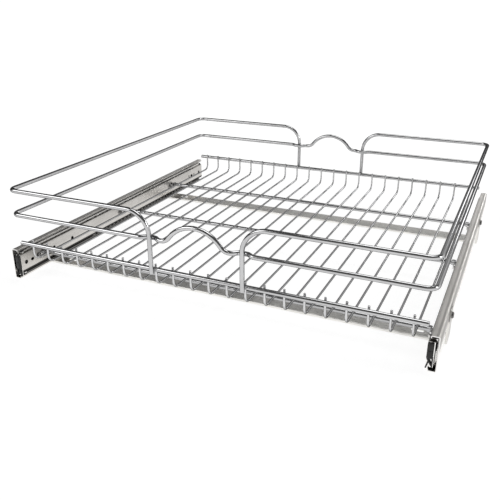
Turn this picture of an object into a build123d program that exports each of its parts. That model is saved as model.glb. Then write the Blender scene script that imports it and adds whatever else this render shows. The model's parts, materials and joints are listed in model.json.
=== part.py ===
from build123d import *
import math
import os

# Pull-out wire basket on two ball-bearing side slides, tied by two floor bars.
# Millimetres. +Z is up, the front faces -Y, X runs across.
# Origin: the middle of the footprint, on the underside of the floor bars.

os.makedirs("parts", exist_ok=True)

# ---------------------------------------------------------------- basket wire
FRAME_R = 3.0            # 6 mm wire: rails, guards and cross rods
FLOOR_R = 1.5            # 3 mm wire: the floor
WELD = 0.2               # how far crossing wires sink into each other
LOOP_X = 286.9           # half width of the guard loops, on the wire's centre
LOOP_Y = 274.8           # half depth of the guard loops
LOOP_CORNER = 12.0
GUARD_TOP_Z = 136.9
GUARD_MID_Z = 102.0
RAIL_Z = 58.0
RAIL_HALF_X = 283.5
POST_X = 63.9            # where the top guards turn down to the rails
POST_BEND = 32.0
POST_FOOT = 4.0          # how far a post runs below the rail's centre
WAVE_FOOT_X = 39.8       # corner points of the wave before it is rounded
WAVE_PEAK_Z = 155.4
WAVE_FOOT_R = 14.5
WAVE_CREST_R = 44.0
JOG_NEAR_X = 51.0        # the middle guard steps inside each post
JOG_RUN = 6.5
JOG_BEND = 8.0
FLOOR_Z = 33.6
FLOOR_BEND = 10.0
FLOOR_PITCH = 25.4
FLOOR_COUNT = 22
FLOOR_TIP = 5.5          # height of the wire tips above the rail's centre
ROD_Y = (-227.3, -21.8, 147.2)
GUARD_INSIDE_Y = LOOP_Y - 2 * FRAME_R + WELD    # a wire welded behind the posts
JOG_FAR_X = 2 * POST_X - JOG_NEAR_X
FLOOR_END_Y = GUARD_INSIDE_Y - FRAME_R + WELD - FLOOR_R     # upturned ends, inside the rails
FLOOR_RUN_Y = FLOOR_END_Y - FLOOR_BEND                      # where each wire starts to turn up

# ---------------------------------------------------------------- side slides
SLIDE_OUT_X = 297.5      # face against the cabinet side
SLIDE_THICK = 12.7
SLIDE_HALF_H = 22.5
SLIDE_Z = 26.0           # centre height of both slides
OUTER_Y = (-275.8, 274.2)
MIDDLE_Y = (-264.8, 261.2)
INNER_Y = (-273.3, 269.7)
TRAVEL = 550.0           # the basket's full extension

OUTER_T = 1.2            # sheet thickness of each member
MIDDLE_T = 1.0
INNER_T = 1.0
OUTER_BALL_R = 2.1
INNER_BALL_R = 2.0
OUTER_BALL_Z = 19.125    # ball row above and below the slide's centre
INNER_BALL_Z = 13.8
OUTER_BALL_T = 5.6       # ball row, from the cabinet face inwards
INNER_BALL_T = 7.9
OUTER_CAGE_Y = (-134.8, 121.2)
INNER_CAGE_Y = (-109.8, 230.2)
INNER_BALLS_END = 125.0
CAGE_T = 0.6

# ----------------------------------------------------------------- floor bars
BAR_T = 1.5
BAR_H = 3.5
BAR_Y = ((-203.8, -176.3), (141.2, 168.7))
BAR_SLOT_X = 262.0
BAR_SLOT_LEN = 16.0
BAR_SLOT_R = 2.75
EAR_TOP_Z = 43.0
EAR_SCREW_Z = 33.0
EAR_SCREW_Y = tuple((y0 + y1) / 2 for y0, y1 in BAR_Y)

PAD_T = 2.4              # flattened ends of the cross rods
PAD_LEN = 19.0
PAD_H = 9.0
PAD_HOLE_SHIFT = -8.0    # the screw sits ahead of the rod
INNER_FACE_X = SLIDE_OUT_X - SLIDE_THICK


def rounded_path(points, radii):
    """A wire through points, each inner corner rounded to its own radius."""
    pts = [Vector(*p) for p in points]
    edges = []
    start = pts[0]
    for corner, ahead, radius in zip(pts[1:-1], pts[2:], radii):
        into = (corner - start).normalized()
        away = (ahead - corner).normalized()
        turn = math.acos(max(-1.0, min(1.0, into.dot(away))))
        back = radius * math.tan(turn / 2)
        arc_from = corner - into * back
        arc_to = corner + away * back
        bisector = (away - into).normalized()
        centre = corner + bisector * (radius / math.cos(turn / 2))
        arc_mid = centre - bisector * radius
        edges.append(Edge.make_line(start, arc_from))
        edges.append(Edge.make_three_point_arc(arc_from, arc_mid, arc_to))
        start = arc_to
    edges.append(Edge.make_line(start, pts[-1]))
    return Wire(edges)


def round_wire(path, radius):
    """Round bar swept along a path."""
    plane = Plane(origin=path @ 0, z_dir=path % 0)
    return sweep(plane * Circle(radius), path=path)


def straight_wire(start, end, radius):
    """Straight round bar between two points."""
    along = Vector(*end) - Vector(*start)
    return Solid.make_cylinder(radius, along.length, Plane(origin=start, z_dir=along))


def joined(shapes):
    """One solid made from shapes that touch."""
    body = shapes[0]
    for shape in shapes[1:]:
        body = body + shape
    return body


def mirrored_x(shape):
    return mirror(shape, about=Plane.YZ)


# ================================================================ the basket
def rail(sign):
    """Straight front (-1) or rear (+1) rail of the floor grid."""
    y = sign * GUARD_INSIDE_Y
    bar = straight_wire((-RAIL_HALF_X, y, RAIL_Z), (RAIL_HALF_X, y, RAIL_Z), FRAME_R)
    return chamfer(bar.edges(), 0.5)


def floor_row(path):
    """One thin wire along a path, repeated across the floor at its pitch."""
    first = -(FLOOR_COUNT - 1) / 2 * FLOOR_PITCH
    wire = round_wire(path, FLOOR_R)
    return Compound(children=[Pos(first + i * FLOOR_PITCH, 0, 0) * wire for i in range(FLOOR_COUNT)])


def floor_wires():
    """The level part of the floor wires, front to back."""
    return floor_row(Wire([Edge.make_line((0, -FLOOR_RUN_Y, FLOOR_Z), (0, FLOOR_RUN_Y, FLOOR_Z))]))


def wire_ends(sign):
    """The ends of the floor wires, turned up inside the front (-1) or rear (+1) rail."""
    y = sign * FLOOR_END_Y
    bend_top = FLOOR_Z + FLOOR_BEND
    out = FLOOR_BEND * math.sin(math.radians(45))
    bend = Edge.make_three_point_arc(
        (0, sign * FLOOR_RUN_Y, FLOOR_Z),
        (0, sign * (FLOOR_RUN_Y + out), bend_top - out),
        (0, y, bend_top),
    )
    upright = Edge.make_line((0, y, bend_top), (0, y, RAIL_Z + FLOOR_TIP))
    return floor_row(Wire([bend, upright]))


def cross_rod(y):
    """Rod under the floor wires, its ends flattened into screwed pads."""
    z = FLOOR_Z - FLOOR_R - FRAME_R + WELD
    reach = INNER_FACE_X - PAD_T / 2
    rod = straight_wire((-reach, y, z), (reach, y, z), FRAME_R)
    pad = Box(PAD_T, PAD_LEN, PAD_H, align=(Align.MAX, Align.CENTER, Align.CENTER))
    pad = fillet(pad.edges().filter_by(Axis.X), PAD_H / 2 - 0.2)
    pad = Pos(INNER_FACE_X, y + PAD_HOLE_SHIFT / 2, SLIDE_Z) * pad
    neck = Pos(INNER_FACE_X - PAD_T - 2.5, y, z) * Box(6.0, 5.0, PAD_H - 2.0)
    neck = fillet(neck.edges().filter_by(Axis.Y), 1.6)
    neck = neck & Pos(INNER_FACE_X - 50, y, z) * Box(100, 20, 20)
    hole = straight_wire(
        (INNER_FACE_X - 8, y + PAD_HOLE_SHIFT, SLIDE_Z),
        (INNER_FACE_X + 2, y + PAD_HOLE_SHIFT, SLIDE_Z),
        2.2,
    )
    end = pad + neck - hole
    return joined([rod, end, mirrored_x(end)])


def top_guard():
    """Right half of the top guard: post, front run, side run, rear run, post."""
    foot = RAIL_Z - POST_FOOT
    corners = [
        (POST_X, -LOOP_Y, foot),
        (POST_X, -LOOP_Y, GUARD_TOP_Z),
        (LOOP_X, -LOOP_Y, GUARD_TOP_Z),
        (LOOP_X, LOOP_Y, GUARD_TOP_Z),
        (POST_X, LOOP_Y, GUARD_TOP_Z),
        (POST_X, LOOP_Y, foot),
    ]
    path = rounded_path(corners, [POST_BEND, LOOP_CORNER, LOOP_CORNER, POST_BEND])
    return round_wire(path, FRAME_R)


def middle_guard():
    """Right half of the middle guard: it starts and ends behind the posts."""
    z = GUARD_MID_Z
    rear = [
        (POST_X, GUARD_INSIDE_Y, z),
        (JOG_FAR_X - JOG_RUN, GUARD_INSIDE_Y, z),
        (JOG_FAR_X, LOOP_Y, z),
        (LOOP_X, LOOP_Y, z),
    ]
    front = [(x, -y, z) for x, y, z in reversed(rear)]
    radii = [JOG_BEND, JOG_BEND, LOOP_CORNER, LOOP_CORNER, JOG_BEND, JOG_BEND]
    return round_wire(rounded_path(rear + front, radii), FRAME_R)


def wave(sign):
    """Front (-1) or rear (+1) wave that carries the middle guard between posts."""
    z = GUARD_MID_Z
    right = [
        (POST_X, sign * GUARD_INSIDE_Y, z),
        (JOG_NEAR_X + JOG_RUN, sign * GUARD_INSIDE_Y, z),
        (JOG_NEAR_X, sign * LOOP_Y, z),
        (WAVE_FOOT_X, sign * LOOP_Y, z),
    ]
    left = [(-x, y, z) for x, y, z in reversed(right)]
    peak = [(0, sign * LOOP_Y, WAVE_PEAK_Z)]
    radii = [JOG_BEND, JOG_BEND, WAVE_FOOT_R, WAVE_CREST_R, WAVE_FOOT_R, JOG_BEND, JOG_BEND]
    return round_wire(rounded_path(right + peak + left, radii), FRAME_R)


# =========================================================== the side slides
# A slide's section is drawn as (t, z): t runs inwards from the cabinet face,
# z is the height above the slide's centre line. The lower half mirrors it.
def section(half):
    """Closed (t, z) outline from its upper half, listed from the web down."""
    return half + [(t, -z) for t, z in reversed(half)]


def rolled(outline, y_range, rounds):
    """Member of the right slide: an outline run along Y, its bends rounded."""
    y0, y1 = y_range
    points = [(SLIDE_OUT_X - t, y0, SLIDE_Z + z) for t, z in outline]
    face = Face(Wire.make_polygon(points, close=True))
    bar = Solid(extrude(face, amount=y1 - y0, dir=(0, 1, 0)).wrapped)
    for t, z, radius in rounds:
        x = SLIDE_OUT_X - t
        picked = [
            e for e in bar.edges().filter_by(Axis.Y)
            if abs(e.center().X - x) < 0.01 and abs(abs(e.center().Z - SLIDE_Z) - z) < 0.01
        ]
        bar = fillet(picked, radius)
    return bar


def slide_hole(y, length, width, t_from, t_to, along_z=False):
    """Cutter through a slide web: round when its length equals its width."""
    depth = t_to - t_from
    turn = 0 if along_z else 90
    shape = SlotOverall(length, width) if length > width else Circle(width / 2)
    cutter = extrude(shape, amount=depth)
    plane = Plane(origin=(SLIDE_OUT_X - t_to, y, SLIDE_Z), x_dir=(0, 0, 1), z_dir=(1, 0, 0))
    return plane * (Rot(0, 0, turn) * cutter)


def outer_member():
    """Cabinet member: deep C channel whose lips turn in to hold the balls."""
    h = SLIDE_HALF_H
    t = OUTER_T
    half = [(0, h), (10.2, h), (10.2, 19.3), (9.2, 19.3), (9.2, h - t), (t, h - t)]
    bar = rolled(section(half), OUTER_Y, [(0, h, 2.2), (10.2, h, 1.8), (t, h - t, 1.0)])
    for y in (-225.0, -97.0, 95.0, 223.0):
        bar = bar - slide_hole(y, 5.0, 5.0, -1, 2)
    bar = bar - Pos(0, 0, 18.8) * slide_hole(-199.0, 34.0, 2.6, -1, 2)
    bar = bar - Pos(0, 0, 8.0) * slide_hole(-35.0, 20.0, 4.0, -1, 2, along_z=True)
    for y in EAR_SCREW_Y:
        screw_hole = slide_hole(y, 3.8, 3.8, -1, 2)
        bar = bar - Pos(0, 0, EAR_SCREW_Z - SLIDE_Z) * screw_hole
    return bar


def middle_member():
    """Middle member: C channel that runs on the outer balls, lips turned out."""
    half = [
        (2.4, 16.95), (10.2, 16.95), (10.2, 18.3), (11.2, 18.3), (11.2, 15.85),
        (2.4 + MIDDLE_T, 15.85),
    ]
    bar = rolled(section(half), MIDDLE_Y, [(2.4, 16.95, 1.6), (3.4, 15.85, 0.6)])
    for y in (-220.0, 60.0, 215.0):
        bar = bar - slide_hole(y, 26.0, 9.0, 1, 4)
    return bar


def inner_member():
    """Drawer member: shallow C channel, web inwards, with its row of holes."""
    w = SLIDE_THICK
    half = [
        (w, 13.9), (10.6, 13.9), (8.9, 11.75), (6.0, 11.75), (6.0, 12.8), (5.2, 12.8),
        (5.2, 10.75), (9.4, 10.75), (11.1, 12.9), (w - INNER_T, 12.9),
    ]
    bar = rolled(section(half), INNER_Y, [(w, 13.9, 1.0), (10.6, 13.9, 0.5)])
    for y in (-264.0, 256.5):
        bar = bar - slide_hole(y, 4.6, 4.6, 11, 14)
    bar = bar - slide_hole(-251.5, 6.5, 4.6, 11, 14)
    bar = bar - slide_hole(-204.5, 4.6, 4.6, 11, 14)
    bar = bar - slide_hole(-162.0, 4.2, 4.2, 11, 14)
    for y in (214.5, 235.5):
        bar = bar - slide_hole(y, 7.5, 3.2, 11, 14, along_z=True)
    bar = bar - slide_hole(225.0, 8.5, 6.0, 11, 14)
    for y in ROD_Y:
        bar = bar - slide_hole(y + PAD_HOLE_SHIFT, 3.8, 3.8, 11, 14)
    return bar


def cage_row(y_range, pitch):
    """Positions of the windows along one cage."""
    y0, y1 = y_range
    count = int((y1 - y0 - 8) // pitch)
    start = (y0 + y1 - (count - 1) * pitch) / 2
    return [start + i * pitch for i in range(count)]


def cage(t_web, t_lip, z_out, z_in, y_range, row, window):
    """Ball cage: thin C strip with a ball pocket above and below the web at each y."""
    half = [(t_web, z_out), (t_lip, z_out), (t_lip, z_in), (t_web + CAGE_T, z_in)]
    bar = rolled(section(half), y_range, [])
    t_mid, length, width = window
    cutters = []
    for y in row:
        for side in (-1, 1):
            z = SLIDE_Z + side * (z_in + z_out) / 2
            block = Box(width, length, 2 * (z_out - z_in))
            cutters.append(Pos(SLIDE_OUT_X - t_mid, y, z) * block)
    return bar - cutters


OUTER_ROW = cage_row(OUTER_CAGE_Y, 32.0)
INNER_ROW = cage_row(INNER_CAGE_Y, 11.0)


def outer_cage():
    window = (OUTER_BALL_T, 4.6, 4.6)
    return cage(1.5, 8.6, 19.5, 18.7, OUTER_CAGE_Y, OUTER_ROW, window)


def inner_cage():
    """Its pockets are open at the edge, so the edge shows as a row of teeth."""
    window = (INNER_BALL_T + 1.6, 6.0, 7.4)
    return cage(3.8, 11.0, 15.1, 14.3, INNER_CAGE_Y, INNER_ROW, window)


def balls(radius, t, z, row):
    """Both ball rows of one cage."""
    rows = []
    for y in row:
        for side in (-1, 1):
            centre = (SLIDE_OUT_X - t, y, SLIDE_Z + side * z)
            rows.append(Pos(*centre) * Sphere(radius))
    return Compound(children=rows)


def block(t_range, y_range, z_range, edge_axis, radius):
    """Moulded block of the right slide, the edges along one axis rounded."""
    size = (t_range[1] - t_range[0], y_range[1] - y_range[0], z_range[1] - z_range[0])
    corner = (SLIDE_OUT_X - t_range[1], y_range[0], SLIDE_Z + z_range[0])
    shape = Box(*size, align=(Align.MIN, Align.MIN, Align.MIN))
    shape = fillet(shape.edges().filter_by(edge_axis), radius)
    return Pos(*corner) * shape


def front_bumper():
    """Black plug in the drawer member's front end, its release lever below."""
    y_range = (-LOOP_Y - FRAME_R, INNER_Y[0] - 0.1)
    head = block((5.5, 12.6), y_range, (-6.0, 14.2), Axis.Y, 1.2)
    head = chamfer(head.faces().sort_by(Axis.Y)[0].edges(), 0.4)
    spine = block((5.5, 8.0), y_range, (-15.0, -4.0), Axis.Y, 0.8)
    points = [(9.2, -4.5), (11.4, -4.5), (12.6, -17.6), (11.2, -18.4), (10.6, -17.4)]
    outline = [(SLIDE_OUT_X - t, y_range[0] + 0.6, SLIDE_Z + z) for t, z in points]
    face = Face(Wire.make_polygon(outline, close=True))
    lever = Solid(extrude(face, amount=3.0, dir=(0, 1, 0)).wrapped)
    tongue = block((6.9, 11.6), (INNER_Y[0] - 0.4, INNER_Y[0] + 13.6), (-10.3, 10.3), Axis.X, 1.5)
    return joined([head, spine, lever, tongue])


def middle_stop():
    """Black stop on the middle member's front end, a lug above and below."""
    y_range = (MIDDLE_Y[0] - 5.0, MIDDLE_Y[0])
    upper = block((3.0, 11.4), y_range, (15.6, 18.7), Axis.Y, 0.7)
    lower = block((3.0, 11.4), y_range, (-18.7, -15.6), Axis.Y, 0.7)
    web = block((3.0, 4.6), y_range, (-17.0, 17.0), Axis.X, 0.5)
    return joined([upper, lower, web])


def rear_buffer():
    """Buffer block in the rear end of the cabinet member."""
    return block((OUTER_T, 7.7), (OUTER_Y[1] - 3.6, OUTER_Y[1]), (-15.0, 15.0), Axis.Y, 1.2)


# ============================================================= the floor bars
def floor_bar(y_range):
    """Folded cross bar; its ears stand up outside both cabinet members."""
    y0, y1 = y_range
    width = y1 - y0
    mid_y = (y0 + y1) / 2
    reach = SLIDE_OUT_X + BAR_T
    top = Box(2 * reach, width, BAR_H, align=(Align.CENTER, Align.CENTER, Align.MIN))
    top = fillet(top.edges().filter_by(Axis.X).group_by(Axis.Z)[-1], 1.0)
    hollow_h = BAR_H - BAR_T
    hollow = Box(
        2 * reach + 2, width - 2 * BAR_T, hollow_h,
        align=(Align.CENTER, Align.CENTER, Align.MIN),
    )
    bar = Pos(0, mid_y, 0) * (top - hollow)
    ear_profile = Polyline(
        (y0, 0), (y1, 0), (y1, 30), (mid_y + 7, EAR_TOP_Z), (mid_y - 7, EAR_TOP_Z), (y0, 30),
        close=True,
    )
    ear_face = make_face(ear_profile)
    ear = extrude(Plane.YZ * ear_face, amount=BAR_T)
    ear = fillet(ear.edges().filter_by(Axis.X).group_by(Axis.Z)[-1], 3.0)
    ear = Pos(SLIDE_OUT_X, 0, 0) * ear
    hole = straight_wire(
        (SLIDE_OUT_X - 1, mid_y, EAR_SCREW_Z), (reach + 1, mid_y, EAR_SCREW_Z), 2.2
    )
    ear = ear - hole
    bar = joined([bar, ear, mirrored_x(ear)])
    slot = extrude(SlotOverall(BAR_SLOT_LEN, 2 * BAR_SLOT_R), amount=20, both=True)
    for x in (-BAR_SLOT_X, BAR_SLOT_X):
        bar = bar - Pos(x, mid_y, 0) * slot
    return bar


def pan_screw(head_r, head_h, shank_r, shank_len):
    """Pan-head screw along +X, the head's seat at the origin, cross recess."""
    head = Cylinder(head_r, head_h, align=(Align.CENTER, Align.CENTER, Align.MIN))
    head = fillet(head.edges().group_by(Axis.Z)[-1], head_h * 0.55)
    for turn in (0, 90):
        recess = Rot(0, 0, turn) * Box(head_r * 1.1, 0.9, head_h)
        head = head - Pos(0, 0, head_h) * recess
    shank = Cylinder(shank_r, shank_len, align=(Align.CENTER, Align.CENTER, Align.MAX))
    return Rot(0, 90, 0) * (head + shank)


def ear_screws():
    """The screws that hold the ears to the cabinet members."""
    screw = pan_screw(4.0, 2.6, 1.85, BAR_T + OUTER_T - 0.1)
    right = [Pos(SLIDE_OUT_X + BAR_T, y, EAR_SCREW_Z) * screw for y in EAR_SCREW_Y]
    return Compound(children=right + [mirrored_x(s) for s in right])


def rod_screws():
    """The screws that hold the rods' pads to the drawer members."""
    screw = Rot(0, 0, 180) * pan_screw(3.6, 2.2, 1.85, PAD_T + INNER_T + 1.6)
    x = INNER_FACE_X - PAD_T
    right = [Pos(x, y + PAD_HOLE_SHIFT, SLIDE_Z) * screw for y in ROD_Y]
    return Compound(children=right + [mirrored_x(s) for s in right])


def save(name, shape):
    export_step(shape, "parts/" + name + ".step")


def save_pair(name, right):
    """The right piece and its mirror image."""
    save("right_" + name, right)
    save("left_" + name, mirrored_x(right))


save("front_rail", rail(-1))
save("rear_rail", rail(1))
save("floor_wires", floor_wires())
save("front_wire_ends", wire_ends(-1))
save("rear_wire_ends", wire_ends(1))
for label, rod_y in zip(("front", "middle", "rear"), ROD_Y):
    save(label + "_cross_rod", cross_rod(rod_y))
save_pair("top_guard", top_guard())
save_pair("middle_guard", middle_guard())
save("front_wave", wave(-1))
save("rear_wave", wave(1))
save("rod_screws", rod_screws())
save_pair("drawer_member", inner_member())
save_pair("middle_member", middle_member())
save_pair("cabinet_member", outer_member())
save_pair("inner_ball_cage", inner_cage())
save_pair("outer_ball_cage", outer_cage())
INNER_BALL_ROW = [y for y in INNER_ROW[1::4] if y < INNER_BALLS_END]
save_pair("inner_balls", balls(INNER_BALL_R, INNER_BALL_T, INNER_BALL_Z, INNER_BALL_ROW))
save_pair("outer_balls", balls(OUTER_BALL_R, OUTER_BALL_T, OUTER_BALL_Z, OUTER_ROW))
save_pair("front_bumper", front_bumper())
save_pair("middle_stop", middle_stop())
save_pair("rear_buffer", rear_buffer())
save("front_floor_bar", floor_bar(BAR_Y[0]))
save("rear_floor_bar", floor_bar(BAR_Y[1]))
save("ear_screws", ear_screws())
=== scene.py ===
import bpy, bmesh, json, math
from mathutils import Matrix, Vector

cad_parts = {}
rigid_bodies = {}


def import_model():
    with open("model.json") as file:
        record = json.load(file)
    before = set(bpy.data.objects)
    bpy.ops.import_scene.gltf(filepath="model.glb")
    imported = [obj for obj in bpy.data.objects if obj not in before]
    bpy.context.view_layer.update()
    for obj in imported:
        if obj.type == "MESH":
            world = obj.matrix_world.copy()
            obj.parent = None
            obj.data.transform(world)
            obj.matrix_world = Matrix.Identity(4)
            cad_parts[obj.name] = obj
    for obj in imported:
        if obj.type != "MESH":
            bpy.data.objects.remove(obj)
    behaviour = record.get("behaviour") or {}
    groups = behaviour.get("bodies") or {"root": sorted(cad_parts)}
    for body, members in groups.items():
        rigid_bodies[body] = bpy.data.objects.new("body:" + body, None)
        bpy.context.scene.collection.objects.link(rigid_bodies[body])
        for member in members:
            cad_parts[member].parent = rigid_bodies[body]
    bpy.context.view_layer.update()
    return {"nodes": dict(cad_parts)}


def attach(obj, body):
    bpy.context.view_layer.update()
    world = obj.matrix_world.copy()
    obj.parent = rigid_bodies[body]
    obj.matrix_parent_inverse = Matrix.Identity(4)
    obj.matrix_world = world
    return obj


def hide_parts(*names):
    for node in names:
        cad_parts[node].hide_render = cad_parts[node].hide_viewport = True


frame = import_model()

MM = 0.001

# Sizes in millimetres, as the basket's maker would dimension it.
FRAME_R = 3.0
FLOOR_R = 1.5
WELD = 0.2
LOOP_X, LOOP_Y = 286.9, 274.8
LOOP_CORNER = 12.0
GUARD_TOP_Z, GUARD_MID_Z, RAIL_Z = 136.9, 102.0, 58.0
RAIL_Y = LOOP_Y - 2 * FRAME_R + WELD
RAIL_HALF_X = 283.5
POST_X, POST_BEND, POST_FOOT = 63.9, 32.0, 4.0
WAVE_FOOT_X, WAVE_PEAK_Z, WAVE_FOOT_R, WAVE_CREST_R = 39.8, 155.4, 14.5, 44.0
JOG_NEAR_X, JOG_RUN, JOG_BEND = 51.0, 6.5, 8
FLOOR_Z, FLOOR_BEND, FLOOR_PITCH, FLOOR_COUNT, FLOOR_TIP = 33.6, 10.0, 25.4, 22, 5.5
ROD_Y = (-227.3, -21.8, 147.2)
ROD_Z = FLOOR_Z - FLOOR_R - FRAME_R + WELD
SLIDE_OUT_X, SLIDE_Z = 297.5, 26.0
NOSE_Y, DRAWER_Y, MIDDLE_Y = -277.8, -273.3, -264.8

# Cut ends of the wires: a dome this flat, and the length that it adds.
DOME_FLATNESS = 0.28
FRAME_DOME, FLOOR_DOME = 0.6, 0.4

# Half a weld bead's size across the floor wire, along it and upwards, and how deep it sits.
BEAD = (2.3, 2.6, 0.9)
BEAD_SINK = 0.2


# ------------------------------------------------------------- materials
def new_material(name):
    mat = bpy.data.materials.new(name)
    mat.use_nodes = True
    nodes = mat.node_tree.nodes
    nodes.clear()
    out = nodes.new("ShaderNodeOutputMaterial")
    shader = nodes.new("ShaderNodeBsdfPrincipled")
    mat.node_tree.links.new(shader.outputs[0], out.inputs[0])
    return mat, shader


def add(mat, kind, links=(), **values):
    """A node with its inputs set by name, and links given as (output socket, input name)."""
    node = mat.node_tree.nodes.new(kind)
    for key, value in values.items():
        if hasattr(node, key) and key not in node.inputs:
            setattr(node, key, value)
        else:
            node.inputs[key.replace("_", " ") if key not in node.inputs else key].default_value = value
    for source, target in links:
        mat.node_tree.links.new(source, node.inputs[target])
    return node


def object_coords(mat, scale=(1, 1, 1)):
    coords = add(mat, "ShaderNodeTexCoord")
    mapping = add(mat, "ShaderNodeMapping", [(coords.outputs["Object"], "Vector")])
    mapping.inputs["Scale"].default_value = scale
    return mapping.outputs[0]


def ramp(mat, source, stops):
    node = add(mat, "ShaderNodeValToRGB", [(source, "Fac")])
    while len(node.color_ramp.elements) < len(stops):
        node.color_ramp.elements.new(0.5)
    for element, (pos, value) in zip(node.color_ramp.elements, stops):
        element.position = pos
        element.color = (*value, 1) if hasattr(value, "__len__") else (value, value, value, 1)
    return node.outputs[0]


def metal(name, dark, light, rough, grain, grain_scale, bump, tint=(0.6, 0.6, 0.6, 1)):
    """Plated metal: colour drifts between two tones, roughness follows the grain."""
    mat, shader = new_material(name)
    coords = object_coords(mat, grain)
    drift = add(mat, "ShaderNodeTexNoise", [(object_coords(mat), "Vector")], Scale=26.0, Detail=3.0)
    fine = add(mat, "ShaderNodeTexNoise", [(coords, "Vector")], Scale=grain_scale, Detail=4.0)
    colour = ramp(mat, drift.outputs["Fac"], [(0.3, dark), (0.7, light)])
    gloss = ramp(mat, fine.outputs["Fac"], [(0.3, rough[0]), (0.7, rough[1])])
    relief = add(mat, "ShaderNodeBump", [(fine.outputs["Fac"], "Height")], Strength=bump, Distance=0.0004)
    link = mat.node_tree.links.new
    link(colour, shader.inputs["Base Color"])
    link(gloss, shader.inputs["Roughness"])
    link(relief.outputs[0], shader.inputs["Normal"])
    shader.inputs["Metallic"].default_value = 1.0
    shader.inputs["Specular Tint"].default_value = tint
    return mat


def plastic(name, dark, light, rough):
    """Moulded plastic with a fine spark-eroded grain."""
    mat, shader = new_material(name)
    coords = object_coords(mat)
    drift = add(mat, "ShaderNodeTexNoise", [(coords, "Vector")], Scale=60.0, Detail=2.0)
    grain = add(mat, "ShaderNodeTexNoise", [(coords, "Vector")], Scale=1900.0, Detail=2.0)
    colour = ramp(mat, drift.outputs["Fac"], [(0.35, dark), (0.65, light)])
    gloss = ramp(mat, grain.outputs["Fac"], [(0.3, rough[0]), (0.7, rough[1])])
    relief = add(mat, "ShaderNodeBump", [(grain.outputs["Fac"], "Height")], Strength=0.25, Distance=0.0002)
    link = mat.node_tree.links.new
    link(colour, shader.inputs["Base Color"])
    link(gloss, shader.inputs["Roughness"])
    link(relief.outputs[0], shader.inputs["Normal"])
    return mat


def multiply(mat, socket, factor):
    """Multiplies what reaches a socket of the shader by a factor."""
    links = mat.node_tree.links
    shader = next(n for n in mat.node_tree.nodes if n.type == "BSDF_PRINCIPLED")
    mix = mat.node_tree.nodes.new("ShaderNodeMix")
    mix.data_type = "RGBA"
    mix.blend_type = "MULTIPLY"
    mix.inputs[0].default_value = 1.0
    links.new(shader.inputs[socket].links[0].from_socket, mix.inputs[6])
    links.new(factor, mix.inputs[7])
    links.new(mix.outputs[2], shader.inputs[socket])


def by_height(mat, stops, socket="Base Color", axis="Z"):
    """Multiplies a metal's colour or roughness by a tone that changes with height, or along another
    axis with the distance from the middle of the basket, in millimetres."""
    coords = add(mat, "ShaderNodeTexCoord")
    split = add(mat, "ShaderNodeSeparateXYZ", [(coords.outputs["Object"], "Vector")])
    size = add(mat, "ShaderNodeMath", [(split.outputs[axis], 0)], operation="ABSOLUTE")
    low, high = stops[0][0] * MM, stops[-1][0] * MM
    height = add(mat, "ShaderNodeMapRange", [(size.outputs[0], "Value")], From_Min=low, From_Max=high)
    tone = ramp(mat, height.outputs[0], [((place * MM - low) / (high - low), v) for place, v in stops])
    multiply(mat, socket, tone)


def round_holes(mat, places, radius, shade=0.5, dark=0.04):
    """Darkens a metal at each place, a (y, z) in millimetres, as its punched holes are in shade."""
    coords = add(mat, "ShaderNodeTexCoord")
    flat = add(mat, "ShaderNodeVectorMath", [(coords.outputs["Object"], 0)], operation="MULTIPLY")
    flat.inputs[1].default_value = (0, 1, 1)
    for y, z in places:
        near = add(mat, "ShaderNodeVectorMath", [(flat.outputs[0], 0)], operation="DISTANCE")
        near.inputs[1].default_value = (0, y * MM, z * MM)
        rim = add(mat, "ShaderNodeMapRange", [(near.outputs["Value"], "Value")],
                  From_Min=radius * MM, From_Max=(radius + shade) * MM, To_Min=dark)
        multiply(mat, "Base Color", rim.outputs[0])


# Stretch of the grain: none, along the slides, and along the floor bars. A white edge is a metal
# that mirrors fully at a glancing angle.
EVEN = (1, 1, 1)
ROLLED = (1, 0.06, 1)
FOLDED = (0.12, 1, 1)
WHITE_EDGE = (1, 1, 1, 1)

# One chrome plating in three tones: the rods, guards and floor wires differ only as painted light, each set
# as light or dark as its wires show.
CHROME = metal(
    "chrome_plate", (0.43, 0.43, 0.435), (0.50, 0.50, 0.505), (0.06, 0.11), EVEN, 420.0, 0.015,
    (0.3, 0.3, 0.3, 1))
GUARD_CHROME = metal(
    "chrome_guard_wire", (0.52, 0.52, 0.525), (0.60, 0.60, 0.605), (0.05, 0.09), EVEN, 420.0, 0.015,
    (0.06, 0.06, 0.06, 1))
FLOOR_CHROME = metal(
    "chrome_floor_wire", (0.62, 0.62, 0.625), (0.70, 0.70, 0.705), (0.06, 0.11), EVEN, 420.0, 0.015,
    (0.2, 0.2, 0.2, 1))
# Painted shade: the floor wires' low runs are a third darker than their turned-up ends.
by_height(FLOOR_CHROME, [(33.0, 0.66), (36.0, 0.68), (42.0, 1.0)])
WELD_CHROME = metal(
    "chrome_over_weld", (0.30, 0.30, 0.305), (0.42, 0.42, 0.42), (0.16, 0.3), EVEN, 900.0, 0.3)
ZINC = metal(
    "zinc_rolled_sheet", (0.50, 0.485, 0.46), (0.60, 0.585, 0.56), (0.24, 0.38), ROLLED, 900.0, 0.12)

DRAWER_ZINC = metal(
    "zinc_drawer_member", (0.62, 0.60, 0.57), (0.72, 0.70, 0.67), (0.24, 0.38), ROLLED, 900.0, 0.12)
# Painted shade on the drawer members: near black up to 15 mm high, where the lower bend lies in the gap
# between the members, a little darker over the upper web, and darker again along the top edge.
by_height(DRAWER_ZINC, [(12.0, 0.05), (15.0, 0.05), (16.2, 1.0), (24.0, 1.0),
                        (28.0, 0.86), (38.6, 0.86), (39.8, 0.45)])
# The solid has a hole at each of these places but y -240. There the photograph shows a dark spot, and
# only the tone is dark: the hole itself is missing from the part's source.
round_holes(DRAWER_ZINC, [(y, SLIDE_Z) for y in (-264.0, -240.0, -204.5, -162.0, 256.5)], 2.9)

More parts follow.
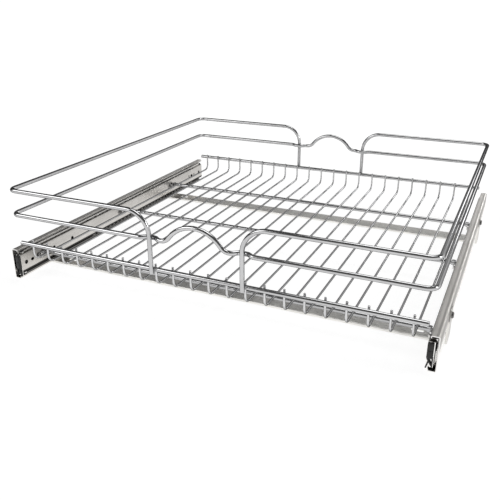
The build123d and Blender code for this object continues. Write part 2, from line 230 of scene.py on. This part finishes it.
CABINET_ZINC = metal(
    "zinc_cabinet_member", (0.85, 0.825, 0.785), (0.94, 0.915, 0.875), (0.50, 0.62), ROLLED, 900.0, 0.12,
    WHITE_EDGE)
# Painted reflection and shade: the cabinet member's zinc is near white, lighter low down and darker towards
# its top.
by_height(CABINET_ZINC, [(22.0, 1.0), (34.0, 0.50), (46.5, 0.38), (48.2, 0.80)])
by_height(CABINET_ZINC, [(22.0, 0.2), (37.0, 1.0), (46.5, 1.0), (48.2, 0.7)], "Roughness")
# Painted reflections: two darker bands along the member, 287.6 to 288.8 and 293.2 to 294.6 mm out from the
# middle, for its rolled flanges.
by_height(CABINET_ZINC, [(284.8, 1.0), (286.4, 1.0), (287.6, 0.85), (288.8, 0.85), (290.0, 1.0),
                         (292.2, 1.0), (293.2, 0.68), (294.6, 0.68), (295.6, 0.95), (297.6, 1.0)], axis="X")

# Painted shade on the middle members: near black between 10.4 and 41.4 mm high and dark below 9.6 mm, where
# the inside of the channel lies in shade; their outward faces get plain zinc instead.
RACEWAY_SHADE_ZINC = metal(
    "zinc_raceway_painted_shade", (0.62, 0.605, 0.58), (0.72, 0.705, 0.68), (0.2, 0.34), (1, 0.08, 1), 900.0, 0.12)
by_height(RACEWAY_SHADE_ZINC, [(9.6, 0.22), (10.4, 0.07), (41.4, 0.07), (42.2, 1.0)])
CAGE_ZINC = metal(
    "zinc_thin_strip", (0.34, 0.335, 0.325), (0.46, 0.455, 0.44), (0.22, 0.34), (1, 0.1, 1), 900.0, 0.1)
BAR_ZINC = metal(
    "zinc_folded_bar", (0.74, 0.73, 0.70), (0.94, 0.925, 0.89), (0.24, 0.42), FOLDED, 900.0, 0.2)
BRIGHT_SCREW = metal(
    "zinc_rod_screw", (0.62, 0.61, 0.59), (0.72, 0.71, 0.69), (0.16, 0.26), EVEN, 1200.0, 0.08)
SCREW_STEEL = metal(
    "dark_plated_screw", (0.10, 0.10, 0.10), (0.17, 0.165, 0.16), (0.25, 0.4), EVEN, 1200.0, 0.15)
# Sawn ends: partly bare cut steel, partly a painted highlight, near white for the glints on the cut ends
# and the light that shows through gaps.
CUT_EDGE_GLINT_ZINC = metal(
    "zinc_cut_edge_painted_glint", (0.86, 0.85, 0.83), (0.94, 0.93, 0.91), (0.14, 0.24), EVEN, 900.0, 0.05, WHITE_EDGE)
BALL_STEEL = metal(
    "polished_ball", (0.62, 0.62, 0.63), (0.7, 0.7, 0.7), (0.05, 0.1), EVEN, 500.0, 0.02)
BLACK = plastic("moulded_black", (0.012, 0.012, 0.012), (0.022, 0.021, 0.02), (0.38, 0.55))


# ------------------------------------------------------- geometry node trees
class Tree:
    """A small geometry node tree with named inputs."""

    def __init__(self, name, inputs):
        self.group = bpy.data.node_groups.new(name, "GeometryNodeTree")
        face = self.group.interface
        face.new_socket("Geometry", in_out="INPUT", socket_type="NodeSocketGeometry")
        self.ids = {}
        for label, kind, value in inputs:
            socket = face.new_socket(label, in_out="INPUT", socket_type="NodeSocket" + kind)
            if value is not None:
                socket.default_value = value
            self.ids[label] = socket.identifier
        face.new_socket("Geometry", in_out="OUTPUT", socket_type="NodeSocketGeometry")
        self.start = self.group.nodes.new("NodeGroupInput")
        self.end = self.group.nodes.new("NodeGroupOutput")

    def node(self, kind, links=(), attrs=(), **values):
        node = self.group.nodes.new(kind)
        for key, value in attrs:
            setattr(node, key, value)
        for key, value in values.items():
            node.inputs[key.replace("_", " ")].default_value = value
        for source, target in links:
            self.group.links.new(source, node.inputs[target])
        return node

    def given(self, label):
        return self.start.outputs[label]

    def close(self, geometry):
        """Every tree ends in Realize Instances and Set Material."""
        real = self.node("GeometryNodeRealizeInstances", [(geometry, "Geometry")])
        paint = self.node("GeometryNodeSetMaterial", [
            (real.outputs[0], "Geometry"), (self.given("Material"), "Material")])
        self.group.links.new(paint.outputs[0], self.end.inputs[0])


def wire_tree():
    """Round wire along a polyline with bent corners, repeated at a pitch."""
    tree = Tree("bent_wire", [
        ("Wire radius", "Float", 0.003), ("Sides", "Int", 20), ("Count", "Int", 1),
        ("First", "Vector", (0, 0, 0)), ("Pitch", "Vector", (0, 0, 0)), ("Material", "Material", None),
    ])
    bend = tree.node("GeometryNodeInputNamedAttribute", attrs=[("data_type", "FLOAT")], Name="bend")
    curve = tree.node("GeometryNodeMeshToCurve", [(tree.start.outputs[0], "Mesh")])
    fillet = tree.node("GeometryNodeFilletCurve", [
        (curve.outputs[0], "Curve"), (bend.outputs[0], "Radius")])
    fillet.mode = "POLY"
    fillet.inputs["Count"].default_value = 12
    ring = tree.node("GeometryNodeCurvePrimitiveCircle", [
        (tree.given("Sides"), "Resolution"), (tree.given("Wire radius"), "Radius")])
    tube = tree.node("GeometryNodeCurveToMesh", [
        (fillet.outputs[0], "Curve"), (ring.outputs[0], "Profile Curve")], Fill_Caps=True)
    row = tree.node("GeometryNodeMeshLine", [
        (tree.given("Count"), "Count"), (tree.given("First"), "Start Location"),
        (tree.given("Pitch"), "Offset")])
    each = tree.node("GeometryNodeInstanceOnPoints", [
        (row.outputs[0], "Points"), (tube.outputs[0], "Instance")])
    tree.close(each.outputs[0])
    return tree


def repeat_tree():
    """The input piece set on every point of another object."""
    tree = Tree("set_on_places", [("Places", "Object", None), ("Material", "Material", None)])
    info = tree.node("GeometryNodeObjectInfo", [(tree.given("Places"), "Object")])
    each = tree.node("GeometryNodeInstanceOnPoints", [
        (info.outputs["Geometry"], "Points"), (tree.start.outputs[0], "Instance")])
    tree.close(each.outputs[0])
    return tree


def run_tree(tree, source, **values):
    """Evaluates a tree on a source object and returns the result as a plain mesh."""
    modifier = source.modifiers.new("build", "NODES")
    modifier.node_group = tree.group
    for label, value in values.items():
        modifier[tree.ids[label.replace("_", " ")]] = value
    bpy.context.view_layer.update()
    graph = bpy.context.evaluated_depsgraph_get()
    mesh = bpy.data.meshes.new_from_object(source.evaluated_get(graph))
    bpy.data.objects.remove(source)
    return mesh


def holder(name, points, edges=(), faces=()):
    mesh = bpy.data.meshes.new(name)
    mesh.from_pydata([tuple(c * MM for c in p) for p in points], edges, faces)
    obj = bpy.data.objects.new(name, mesh)
    bpy.context.scene.collection.objects.link(obj)
    return obj


WIRE_TREE = wire_tree()
REPEAT_TREE = repeat_tree()


def wire_mesh(points, bends, radius, material, closed=False, count=1,
              first=(0, 0, 0), pitch=(0, 0, 0), sides=20):
    """Mesh of a wire bent at each inner point of a polyline, in millimetres."""
    n = len(points)
    edges = [(i, i + 1) for i in range(n - 1)] + ([(n - 1, 0)] if closed else [])
    obj = holder("path", points, edges)
    bend = obj.data.attributes.new("bend", "FLOAT", "POINT")
    bend.data.foreach_set("value", [b * MM for b in bends])
    start, step = (tuple(c * MM for c in v) for v in (first, pitch))
    mesh = run_tree(WIRE_TREE, obj, Wire_radius=radius * MM, Sides=sides, Count=count,
                    First=start, Pitch=step, Material=material)
    smooth(mesh, 50)
    return mesh


def smooth(mesh, angle):
    """Smooth shading, with an edge kept sharp past an angle in degrees."""
    mesh.shade_smooth()
    mesh.set_sharp_from_angle(angle=math.radians(angle))


def piece(name, meshes, body, nodes=()):
    """One finished piece from several meshes, riding on a body in place of CAD nodes."""
    objects = []
    for mesh in meshes:
        obj = bpy.data.objects.new(name, mesh)
        bpy.context.scene.collection.objects.link(obj)
        objects.append(obj)
    whole = objects[0]
    if len(objects) > 1:
        with bpy.context.temp_override(active_object=whole, selected_editable_objects=objects):
            bpy.ops.object.join()
    whole.name = name
    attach(whole, body)
    if nodes:
        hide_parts(*nodes)
    return whole


# ------------------------------------------------------------- the basket
def round_end(at, direction, radius, material):
    """Slightly domed cut end of a wire."""
    bm = bmesh.new()
    bmesh.ops.create_uvsphere(bm, u_segments=20, v_segments=8, radius=radius)
    for v in bm.verts:
        v.co.z *= DOME_FLATNESS
    turn = Vector((0, 0, 1)).rotation_difference(Vector(direction)).to_matrix().to_4x4()
    bm.transform(Matrix.Translation(Vector(at) * MM) @ turn @ Matrix.Scale(MM, 4))
    mesh = bpy.data.meshes.new("end")
    bm.to_mesh(mesh)
    bm.free()
    mesh.materials.append(material)
    mesh.shade_smooth()
    return mesh


def rails():
    for label, sign in (("front", -1), ("rear", 1)):
        y = sign * RAIL_Y
        ends = RAIL_HALF_X - FRAME_DOME
        mesh = wire_mesh([(-ends, y, RAIL_Z), (ends, y, RAIL_Z)], [0, 0], FRAME_R, GUARD_CHROME)
        caps = [round_end((s * ends, y, RAIL_Z), (s, 0, 0), FRAME_R, GUARD_CHROME) for s in (-1, 1)]
        piece(label + "_rail_wire", [mesh] + caps, "basket", [label + "_rail"])


def floor():
    y = LOOP_Y - 3 * FRAME_R + 2 * WELD - FLOOR_R
    tip = RAIL_Z + FLOOR_TIP - FLOOR_DOME
    points = [(0, -y, tip), (0, -y, FLOOR_Z), (0, y, FLOOR_Z), (0, y, tip)]
    x0 = -(FLOOR_COUNT - 1) / 2 * FLOOR_PITCH
    mesh = wire_mesh(points, [0, FLOOR_BEND, FLOOR_BEND, 0], FLOOR_R, FLOOR_CHROME,
                     count=FLOOR_COUNT, first=(x0, 0, 0), pitch=(FLOOR_PITCH, 0, 0), sides=14)
    places = [(x0 + i * FLOOR_PITCH, s * y, tip) for i in range(FLOOR_COUNT) for s in (-1, 1)]
    cap = round_end((0, 0, 0), (0, 0, 1), FLOOR_R, FLOOR_CHROME)
    piece("floor_wire_grid", [mesh, set_on(cap, places, FLOOR_CHROME)], "basket",
          ["floor_wires", "front_wire_ends", "rear_wire_ends"])


def set_on(mesh, places, material):
    """Copies of a small mesh on a list of places, as one mesh."""
    dots = holder("places", places)
    source = bpy.data.objects.new("source", mesh)
    bpy.context.scene.collection.objects.link(source)
    made = run_tree(REPEAT_TREE, source, Places=dots, Material=material)
    bpy.data.objects.remove(dots)
    made.shade_smooth()
    return made


def weld_beads():
    """Low weld beads where the floor wires cross the rods and meet the rails."""
    bm = bmesh.new()
    bmesh.ops.create_uvsphere(bm, u_segments=10, v_segments=6, radius=1.0)
    for v in bm.verts:
        v.co = Vector([half * c for half, c in zip(BEAD, v.co)]) * MM
    bead = bpy.data.meshes.new("bead")
    bm.to_mesh(bead)
    bm.free()
    row = [(i - (FLOOR_COUNT - 1) / 2) * FLOOR_PITCH for i in range(FLOOR_COUNT)]
    on_rods = [(x, y, ROD_Z + FRAME_R - BEAD_SINK) for x in row for y in ROD_Y]
    piece("rod_weld_beads", [set_on(bead, on_rods, WELD_CHROME)], "basket")
    upright = bead.copy()
    upright.transform(Matrix.Rotation(math.radians(90), 4, "X"))
    touch = RAIL_Y - FRAME_R + BEAD_SINK
    on_rails = [(x, s * touch, RAIL_Z) for x in row for s in (-1, 1)]
    piece("rail_weld_beads", [set_on(upright, on_rails, WELD_CHROME)], "basket")


def guards():
    foot = RAIL_Z - POST_FOOT
    for side, s in (("left", -1), ("right", 1)):
        px, lx = s * POST_X, s * LOOP_X
        points = [(px, -LOOP_Y, foot), (px, -LOOP_Y, GUARD_TOP_Z), (lx, -LOOP_Y, GUARD_TOP_Z),
                  (lx, LOOP_Y, GUARD_TOP_Z), (px, LOOP_Y, GUARD_TOP_Z), (px, LOOP_Y, foot)]
        bends = [0, POST_BEND, LOOP_CORNER, LOOP_CORNER, POST_BEND, 0]
        mesh = wire_mesh(points, bends, FRAME_R, GUARD_CHROME)
        caps = [round_end((px, y, foot + FRAME_DOME), (0, 0, -1), FRAME_R, GUARD_CHROME)
                for y in (-LOOP_Y, LOOP_Y)]
        piece(side + "_top_guard_wire", [mesh] + caps, "basket", [side + "_top_guard"])
    far = 2 * POST_X - JOG_NEAR_X
    # Each corner: x, whether it lies on the outer loop or steps in behind a post, bend radius, z.
    quarter = [(LOOP_X, True, LOOP_CORNER, GUARD_MID_Z), (far, True, JOG_BEND, GUARD_MID_Z),
               (far - JOG_RUN, False, JOG_BEND, GUARD_MID_Z),
               (JOG_NEAR_X + JOG_RUN, False, JOG_BEND, GUARD_MID_Z),
               (JOG_NEAR_X, True, JOG_BEND, GUARD_MID_Z),
               (WAVE_FOOT_X, True, WAVE_FOOT_R, GUARD_MID_Z)]
    mirrored = [(-x, outer, bend, z) for x, outer, bend, z in reversed(quarter)]
    line = quarter + [(0, True, WAVE_CREST_R, WAVE_PEAK_Z)] + mirrored
    rear = [(x, LOOP_Y if outer else RAIL_Y, z) for x, outer, bend, z in line]
    front = [(x, -y, z) for x, y, z in reversed(rear)]
    bends = [bend for x, outer, bend, z in line]
    mesh = wire_mesh(rear + front, bends + bends[::-1], FRAME_R, GUARD_CHROME, closed=True)
    nodes = [n for n in frame["nodes"] if n.endswith(("_middle_guard", "_wave"))]
    piece("middle_guard_wire", [mesh], "basket", nodes)


def in_slide(side, bm, material, bevel):
    """Finishes a form drawn in the slide's section: t inwards from the cabinet's wall, z from the
    slide's centre line."""
    if bevel:
        bmesh.ops.bevel(bm, geom=bm.edges[:], offset=bevel, segments=2, affect="EDGES", profile=0.5)
    for v in bm.verts:
        t, y, z = v.co
        v.co = Vector((side * (SLIDE_OUT_X - t), y, SLIDE_Z + z)) * MM
    bmesh.ops.recalc_face_normals(bm, faces=bm.faces[:])
    mesh = bpy.data.meshes.new("form")
    bm.to_mesh(mesh)
    bm.free()
    mesh.materials.append(material)
    smooth(mesh, 35)
    return mesh


def block(side, t, y, z, material, bevel):
    """Block with rounded edges, from one value to another along t, y and z."""
    bm = bmesh.new()
    bmesh.ops.create_cube(bm, size=1.0)
    for v in bm.verts:
        v.co = Vector([low + (c + 0.5) * (high - low) for (low, high), c in zip((t, y, z), v.co)])
    return in_slide(side, bm, material, bevel)


def arm(side, outline, y, material, bevel=0.3):
    """Flat arm: an outline of (t, z) corners, as deep as y is long."""
    bm = bmesh.new()
    near = [bm.verts.new((t, y[0], z)) for t, z in outline]
    far = [bm.verts.new((t, y[1], z)) for t, z in outline]
    n = len(outline)
    bm.faces.new(near)
    bm.faces.new(far[::-1])
    for i in range(n):
        bm.faces.new((near[i], far[i], far[(i + 1) % n], near[(i + 1) % n]))
    return in_slide(side, bm, material, bevel)


def slide_noses():
    """The black plug with its release lever in each drawer member, and the lugs on each middle
    member."""
    for label, side in (("left", -1), ("right", 1)):
        front = NOSE_Y
        plug = [
            block(side, (5.6, 12.6), (front + 0.5, DRAWER_Y + 0.4), (-6.0, 13.6), BLACK, 0.9),
            block(side, (6.4, 11.8), (front, front + 1.2), (-4.6, 4.0), BLACK, 0.4),
            block(side, (6.4, 11.8), (front, front + 1.2), (4.8, 12.4), BLACK, 0.4),
            block(side, (5.2, 6.6), (front + 0.7, DRAWER_Y - 0.2), (-16.8, -5.0), BLACK, 0.3),
            arm(side, [(8.0, -5.0), (9.6, -5.0), (12.9, -17.4), (12.4, -18.9), (11.2, -17.8)],
                (front + 0.8, front + 3.6), BLACK),
            arm(side, [(11.2, -5.0), (12.2, -7.0), (7.6, -14.8), (6.2, -15.6), (6.2, -13.6)],
                (front + 1.6, front + 3.8), BLACK),
            # Near white plate across the drawer member's front, behind the plug: a painted highlight where
            # light shows through the gaps round the plug.
            block(side, (4.6, 12.5), (front + 4.0, front + 4.9), (-18.0, 13.8), CUT_EDGE_GLINT_ZINC, 0.2),
            block(side, (6.9, 11.6), (DRAWER_Y - 0.4, DRAWER_Y + 13.6), (-10.3, 10.3), BLACK, 0.8),
        ]
        piece(label + "_front_plug_and_lever", plug, "basket", [label + "_front_bumper"])
        lug_y = (MIDDLE_Y - 5.0, MIDDLE_Y)
        lugs = [
            block(side, (3.2, 11.2), lug_y, (16.0, 18.8), BLACK, 0.6),
            block(side, (3.2, 11.2), lug_y, (-19.4, -16.8), BLACK, 0.6),
            block(side, (3.1, 4.2), (MIDDLE_Y - 4.8, MIDDLE_Y), (1.0, 13.4), BLACK, 0.3),
            # Near white strips on the middle member's end: painted highlights on its cut edges.
            block(side, (3.1, 4.4), (MIDDLE_Y - 4.4, MIDDLE_Y), (-16.9, 16.4), CUT_EDGE_GLINT_ZINC, 0.2),
            block(side, (3.4, 11.0), (MIDDLE_Y - 3.6, MIDDLE_Y), (14.3, 16.2), CUT_EDGE_GLINT_ZINC, 0.2),
            block(side, (3.4, 11.0), (MIDDLE_Y - 3.6, MIDDLE_Y), (-16.9, -15.4), CUT_EDGE_GLINT_ZINC, 0.2),
        ]
        piece(label + "_end_lugs", lugs, label + "_middle", [label + "_middle_stop"])


# --------------------------------------------------- pieces kept as CAD nodes
FINISHES = {
    "_cross_rod": CHROME,
    "rod_screws": BRIGHT_SCREW,
    "ear_screws": SCREW_STEEL,
    "_rear_buffer": BLACK,
    "_balls": BALL_STEEL,
    "_ball_cage": CAGE_ZINC,
    "_floor_bar": BAR_ZINC,
    "_drawer_member": DRAWER_ZINC,
    "_cabinet_member": CABINET_ZINC,
    "_middle_member": RACEWAY_SHADE_ZINC,
}
MEMBER_END = 0.26       # metres from the middle, past which a face square to Y is a sawn end


def finish_cad_nodes():
    """Sets each visible CAD node's material, with sawn ends in near white zinc that is partly a painted
    highlight, and plain zinc outward faces on the drawer and middle members, which keeps their painted
    shade inside."""
    for node, obj in frame["nodes"].items():
        if obj.hide_render:
            continue
        mat = next(finish for ending, finish in FINISHES.items() if node.endswith(ending))
        obj.data.materials.clear()
        obj.data.materials.append(mat)
        if node.endswith("_member"):
            obj.data.materials.append(CUT_EDGE_GLINT_ZINC)
            obj.data.materials.append(ZINC)
            side = -1 if node.startswith("left") else 1
            for face in obj.data.polygons:
                sawn = abs(face.normal.y) > 0.98 and abs(face.center.y) > MEMBER_END
                outward = mat is not CABINET_ZINC and side * face.normal.x > 0.7
                face.material_index = 1 if sawn else 2 if outward else 0


# ------------------------------------------------------- floor, light, camera
FLOOR_HALF = 30.0
PAPER_TONE = (0.28, 0.28, 0.28, 1)
# Tones that the metal mirrors, from low in the room to overhead.
ROOM_TONES = [(0.20, 0.95), (0.265, 0.56), (0.33, 0.20), (0.46, 0.09)]
# How far the bright part reaches up: to the rear, the front's share of that, and to the right.
LEAN_REAR, LEAN_FRONT, LEAN_RIGHT = -0.42, -0.4, -0.28
# The camera that the photograph's wires and slides were solved for.
CAMERA_PLACE = (0.34655, -0.88252, 0.39195)
YAW, PITCH = 0.42127, 0.39971
LENS, SENSOR = 44.80, 36.0


def larger(mat, first, second):
    node = add(mat, "ShaderNodeMath", [(first, 0), (second, 1)], operation="MAXIMUM")
    return node.outputs[0]


def white_floor():
    """Paper that is white to the camera and in the metal, a little greyer near the basket, and that
    keeps the basket's shadow."""
    mesh = bpy.data.meshes.new("studio_floor")
    corners = [(x * FLOOR_HALF, y * FLOOR_HALF, 0) for x, y in ((-1, -1), (1, -1), (1, 1), (-1, 1))]
    mesh.from_pydata(corners, [], [(0, 1, 2, 3)])
    ground = bpy.data.objects.new("studio_floor", mesh)
    bpy.context.scene.collection.objects.link(ground)
    mat = bpy.data.materials.new("white_paper")
    mat.use_nodes = True
    mat.node_tree.nodes.clear()
    coords = add(mat, "ShaderNodeTexCoord")
    reach = add(mat, "ShaderNodeVectorMath", [(coords.outputs["Object"], 0)], operation="LENGTH")
    spread = add(mat, "ShaderNodeMapRange", [(reach.outputs["Value"], "Value")],
                 From_Min=0.45, From_Max=1.6, To_Min=0.86, To_Max=1.0)
    path = add(mat, "ShaderNodeLightPath")
    seen = larger(mat, path.outputs["Is Camera Ray"], path.outputs["Is Glossy Ray"])
    seen = larger(mat, seen, path.outputs["Is Transmission Ray"])
    level = add(mat, "ShaderNodeMath", [(seen, 0), (spread.outputs[0], 1)], operation="MULTIPLY")
    paper = add(mat, "ShaderNodeBsdfDiffuse", Color=PAPER_TONE)
    glow = add(mat, "ShaderNodeEmission", [(level.outputs[0], "Strength")])
    both = add(mat, "ShaderNodeAddShader", [(paper.outputs[0], 0), (glow.outputs[0], 1)])
    add(mat, "ShaderNodeOutputMaterial", [(both.outputs[0], 0)])
    mesh.materials.append(mat)


def studio_room():
    """Room that the metal mirrors, bright low down and dark overhead, and white to the camera."""
    world = bpy.data.worlds.new("studio")
    bpy.context.scene.world = world
    world.use_nodes = True
    world.node_tree.nodes.clear()
    coords = add(world, "ShaderNodeTexCoord")
    split = add(world, "ShaderNodeSeparateXYZ", [(coords.outputs["Generated"], 0)])
    aside = add(world, "ShaderNodeMath", [(split.outputs["X"], 0), (split.outputs["Z"], 2)],
                operation="MULTIPLY_ADD")
    aside.inputs[1].default_value = LEAN_RIGHT
    toward = add(world, "ShaderNodeMath", [(split.outputs["Y"], 0)], operation="MULTIPLY")
    toward.inputs[1].default_value = LEAN_FRONT
    away = larger(world, split.outputs["Y"], toward.outputs[0])
    lean = add(world, "ShaderNodeMath", [(away, 0), (aside.outputs[0], 2)], operation="MULTIPLY_ADD")
    lean.inputs[1].default_value = LEAN_REAR
    shift = add(world, "ShaderNodeMapRange", [(lean.outputs[0], "Value")], From_Min=-0.5, From_Max=1.5)
    tone = ramp(world, shift.outputs[0], ROOM_TONES)
    room = add(world, "ShaderNodeBackground", [(tone, "Color")], Strength=1.0)
    back = add(world, "ShaderNodeBackground", Color=(1, 1, 1, 1))
    path = add(world, "ShaderNodeLightPath")
    mix = add(world, "ShaderNodeMixShader", [
        (path.outputs["Is Camera Ray"], 0), (room.outputs[0], 1), (back.outputs[0], 2)])
    add(world, "ShaderNodeOutputWorld", [(mix.outputs[0], 0)])


def softbox(name, place, size, power, aim=(0, 0, 0.05)):
    light = bpy.data.lights.new(name, "AREA")
    light.shape = "RECTANGLE"
    light.size, light.size_y = size
    light.energy = power
    obj = bpy.data.objects.new(name, light)
    bpy.context.scene.collection.objects.link(obj)
    obj.location = place
    obj.rotation_mode = "QUATERNION"
    obj.rotation_quaternion = (Vector(aim) - Vector(place)).to_track_quat("-Z", "Y")


def photo_camera():
    camera = bpy.data.cameras.new("camera")
    camera.sensor_width = SENSOR
    camera.lens = LENS
    camera.clip_start, camera.clip_end = 0.01, 100.0
    viewer = bpy.data.objects.new("camera", camera)
    bpy.context.scene.collection.objects.link(viewer)
    across = math.cos(PITCH)
    look = Vector((-math.sin(YAW) * across, math.cos(YAW) * across, -math.sin(PITCH)))
    viewer.location = CAMERA_PLACE
    viewer.rotation_mode = "QUATERNION"
    viewer.rotation_quaternion = look.to_track_quat("-Z", "Y")
    bpy.context.scene.camera = viewer


rails()
floor()
weld_beads()
guards()
slide_noses()
finish_cad_nodes()

white_floor()
studio_room()
softbox("front_left_box", (-2.0, -1.75, 1.75), (2.2, 1.3), 24.0)
softbox("overhead_box", (0.2, 0.6, 2.8), (1.8, 1.8), 24.0)
softbox("right_box", (2.5, 0.2, 1.3), (0.5, 1.0), 14.0)
softbox("rear_right_box", (0.75, 3.0, 0.95), (0.5, 0.5), 6.0, (0.29, 0, 0.13))
photo_camera()
bpy.context.scene.view_settings.view_transform = "Standard"
